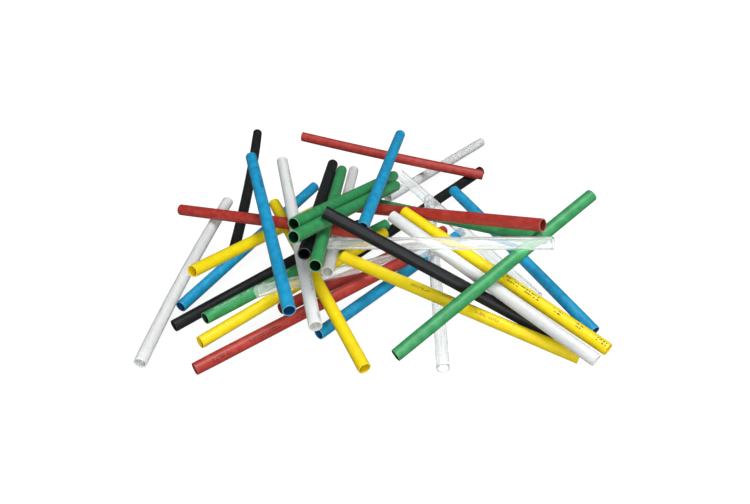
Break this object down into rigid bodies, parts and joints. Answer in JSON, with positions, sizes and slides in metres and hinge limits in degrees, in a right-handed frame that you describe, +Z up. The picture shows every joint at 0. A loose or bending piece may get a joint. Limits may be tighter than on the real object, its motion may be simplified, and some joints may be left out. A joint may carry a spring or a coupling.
{
  "type": "heat-shrink tubing assortment",
  "caption": "Loose heap of cut heat-shrink tubes in mixed colours, open at both ends, each one free to be drawn out of the heap.",
  "frame": {"origin": "on the table, under the middle of the whole heap", "axes": "+Z up from the table; +Y from the front of the heap, where it is looked at from, to the back; +X to the right"},
  "size_m": [0.1794, 0.2176, 0.0537],
  "materials": {
    "black_polyolefin": "satin",
    "green_polyolefin": "satin",
    "blue_polyolefin": "satin",
    "white_polyolefin": "satin",
    "yellow_polyolefin": "satin",
    "red_polyolefin": "satin",
    "clear_polyolefin": "satin"
  },
  "bodies": {
    "blue_tube_1": {"blue_tube_1": "blue_polyolefin"},
    "red_tube_1": {"red_tube_1": "red_polyolefin"},
    "black_tube_1": {"black_tube_1": "black_polyolefin"},
    "blue_tube_2": {"blue_tube_2": "blue_polyolefin"},
    "red_tube_2": {"red_tube_2": "red_polyolefin"},
    "clear_tube_1": {"clear_tube_1": "clear_polyolefin"},
    "yellow_tube_1": {"yellow_tube_1": "yellow_polyolefin"},
    "green_tube_1": {"green_tube_1": "green_polyolefin"},
    "yellow_tube_2": {"yellow_tube_2": "yellow_polyolefin"},
    "white_tube_1": {"white_tube_1": "white_polyolefin"},
    "black_tube_2": {"black_tube_2": "black_polyolefin"},
    "white_tube_2": {"white_tube_2": "white_polyolefin"},
    "yellow_tube_3": {"yellow_tube_3": "yellow_polyolefin"},
    "red_tube_3": {"red_tube_3": "red_polyolefin"},
    "white_tube_3": {"white_tube_3": "white_polyolefin"},
    "black_tube_3": {"black_tube_3": "black_polyolefin"},
    "green_tube_2": {"green_tube_2": "green_polyolefin"},
    "blue_tube_3": {"blue_tube_3": "blue_polyolefin"},
    "green_tube_3": {"green_tube_3": "green_polyolefin"},
    "green_tube_4": {"green_tube_4": "green_polyolefin"},
    "blue_tube_4": {"blue_tube_4": "blue_polyolefin"},
    "white_tube_4": {"white_tube_4": "white_polyolefin"},
    "black_tube_4": {"black_tube_4": "black_polyolefin"},
    "red_tube_4": {"red_tube_4": "red_polyolefin"},
    "blue_tube_5": {"blue_tube_5": "blue_polyolefin"},
    "clear_tube_2": {"clear_tube_2": "clear_polyolefin"},
    "clear_tube_3": {"clear_tube_3": "clear_polyolefin"},
    "yellow_tube_4": {"yellow_tube_4": "yellow_polyolefin"},
    "green_tube_5": {"green_tube_5": "green_polyolefin"},
    "red_tube_5": {"red_tube_5": "red_polyolefin"},
    "yellow_tube_5": {"yellow_tube_5": "yellow_polyolefin"},
    "white_tube_5": {"white_tube_5": "white_polyolefin"},
    "clear_tube_4": {"clear_tube_4": "clear_polyolefin"},
    "black_tube_5": {"black_tube_5": "black_polyolefin"},
    "green_tube_6": {"green_tube_6": "green_polyolefin"}
  },
  "joints": [
    {"name": "red_tube_1_draw", "type": "slide", "parent": "blue_tube_1", "child": "red_tube_1", "axis": [-0.7059, -0.7054, 0.065], "range_m": [0, 0.1]},
    {"name": "black_tube_1_draw", "type": "slide", "parent": "blue_tube_1", "child": "black_tube_1", "axis": [0.7271, 0.6836, 0.0634], "range_m": [0, 0.06]},
    {"name": "blue_tube_2_draw", "type": "slide", "parent": "blue_tube_1", "child": "blue_tube_2", "axis": [0.4961, 0.8626, 0.0992], "range_m": [0, 0.03]},
    {"name": "red_tube_2_draw", "type": "slide", "parent": "blue_tube_1", "child": "red_tube_2", "axis": [-0.786, -0.6145, -0.0679], "range_m": [0, 0.04]},
    {"name": "clear_tube_1_draw", "type": "slide", "parent": "blue_tube_1", "child": "clear_tube_1", "axis": [-0.85, -0.5165, 0.1032], "range_m": [0, 0.1]},
    {"name": "yellow_tube_1_draw", "type": "slide", "parent": "blue_tube_1", "child": "yellow_tube_1", "axis": [-0.7067, -0.7055, -0.0536], "range_m": [0, 0.09]},
    {"name": "green_tube_1_draw", "type": "slide", "parent": "blue_tube_1", "child": "green_tube_1", "axis": [-0.7071, -0.7071, 0], "range_m": [0, 0.1]},
    {"name": "yellow_tube_2_draw", "type": "slide", "parent": "blue_tube_1", "child": "yellow_tube_2", "axis": [-0.4924, -0.8529, 0.1736], "range_m": [0, 0.1]},
    {"name": "white_tube_1_draw", "type": "slide", "parent": "blue_tube_1", "child": "white_tube_1", "axis": [0.1801, 0.9727, 0.146], "range_m": [0, 0.1]},
    {"name": "black_tube_2_draw", "type": "slide", "parent": "blue_tube_1", "child": "black_tube_2", "axis": [0, 0.9848, 0.1736], "range_m": [0, 0.1]},
    {"name": "white_tube_2_draw", "type": "slide", "parent": "blue_tube_1", "child": "white_tube_2", "axis": [0.0816, 0.9957, -0.0442], "range_m": [0, 0.1]},
    {"name": "yellow_tube_3_draw", "type": "slide", "parent": "blue_tube_1", "child": "yellow_tube_3", "axis": [-0.4124, 0.8933, 0.1788], "range_m": [0, 0.1]},
    {"name": "red_tube_3_draw", "type": "slide", "parent": "blue_tube_1", "child": "red_tube_3", "axis": [-0.8713, 0.4655, -0.1554], "range_m": [0, 0.1]},
    {"name": "white_tube_3_draw", "type": "slide", "parent": "blue_tube_1", "child": "white_tube_3", "axis": [-0.2068, 0.9616, 0.1802], "range_m": [0, 0.1]},
    {"name": "black_tube_3_draw", "type": "slide", "parent": "blue_tube_1", "child": "black_tube_3", "axis": [-0.0532, -0.9907, 0.1255], "range_m": [0, 0.1]},
    {"name": "green_tube_2_draw", "type": "slide", "parent": "blue_tube_1", "child": "green_tube_2", "axis": [-0.0531, -0.9909, 0.1235], "range_m": [0, 0.1]},
    {"name": "blue_tube_3_draw", "type": "slide", "parent": "blue_tube_1", "child": "blue_tube_3", "axis": [-0.2563, 0.9565, 0.1392], "range_m": [0, 0.1]},
    {"name": "green_tube_3_draw", "type": "slide", "parent": "blue_tube_1", "child": "green_tube_3", "axis": [-0.3864, -0.8855, 0.2581], "range_m": [0, 0.1]},
    {"name": "green_tube_4_draw", "type": "slide", "parent": "blue_tube_1", "child": "green_tube_4", "axis": [-0.3836, -0.8848, 0.2645], "range_m": [0, 0.1]},
    {"name": "blue_tube_4_draw", "type": "slide", "parent": "blue_tube_1", "child": "blue_tube_4", "axis": [0.1752, 0.9835, -0.0462], "range_m": [0, 0.1]},
    {"name": "white_tube_4_draw", "type": "slide", "parent": "blue_tube_1", "child": "white_tube_4", "axis": [-0.5722, -0.8172, 0.0698], "range_m": [0, 0.02]},
    {"name": "black_tube_4_draw", "type": "slide", "parent": "blue_tube_1", "child": "black_tube_4", "axis": [0.679, 0.7301, 0.077], "range_m": [0, 0.1]},
    {"name": "red_tube_4_draw", "type": "slide", "parent": "blue_tube_1", "child": "red_tube_4", "axis": [0.9478, -0.3096, -0.0759], "range_m": [0, 0.1]},
    {"name": "blue_tube_5_draw", "type": "slide", "parent": "blue_tube_1", "child": "blue_tube_5", "axis": [-0.4924, 0.8529, 0.1736], "range_m": [0, 0.1]},
    {"name": "clear_tube_2_draw", "type": "slide", "parent": "blue_tube_1", "child": "clear_tube_2", "axis": [-0.5649, 0.8067, 0.1736], "range_m": [0, 0.1]},
    {"name": "clear_tube_3_draw", "type": "slide", "parent": "blue_tube_1", "child": "clear_tube_3", "axis": [0.0021, 0.9858, 0.1681], "range_m": [0, 0.02]},
    {"name": "yellow_tube_4_draw", "type": "slide", "parent": "blue_tube_1", "child": "yellow_tube_4", "axis": [0.8613, -0.4973, -0.1045], "range_m": [0, 0.095]},
    {"name": "green_tube_5_draw", "type": "slide", "parent": "blue_tube_1", "child": "green_tube_5", "axis": [0.755, -0.6328, 0.1722], "range_m": [0, 0.1]},
    {"name": "red_tube_5_draw", "type": "slide", "parent": "blue_tube_1", "child": "red_tube_5", "axis": [0.7329, -0.6229, 0.2737], "range_m": [0, 0.1]},
    {"name": "yellow_tube_5_draw", "type": "slide", "parent": "blue_tube_1", "child": "yellow_tube_5", "axis": [0.6984, -0.6984, -0.1564], "range_m": [0, 0.1]},
    {"name": "white_tube_5_draw", "type": "slide", "parent": "blue_tube_1", "child": "white_tube_5", "axis": [0.692, -0.703, -0.1639], "range_m": [0, 0.1]},
    {"name": "clear_tube_4_draw", "type": "slide", "parent": "blue_tube_1", "child": "clear_tube_4", "axis": [0.9139, -0.3428, 0.2175], "range_m": [0, 0.1]},
    {"name": "black_tube_5_draw", "type": "slide", "parent": "blue_tube_1", "child": "black_tube_5", "axis": [-0.8791, 0.2194, 0.4231], "range_m": [0, 0.1]},
    {"name": "green_tube_6_draw", "type": "slide", "parent": "blue_tube_1", "child": "green_tube_6", "axis": [0.7675, 0.5372, 0.3498], "range_m": [0, 0.1]}
  ]
}
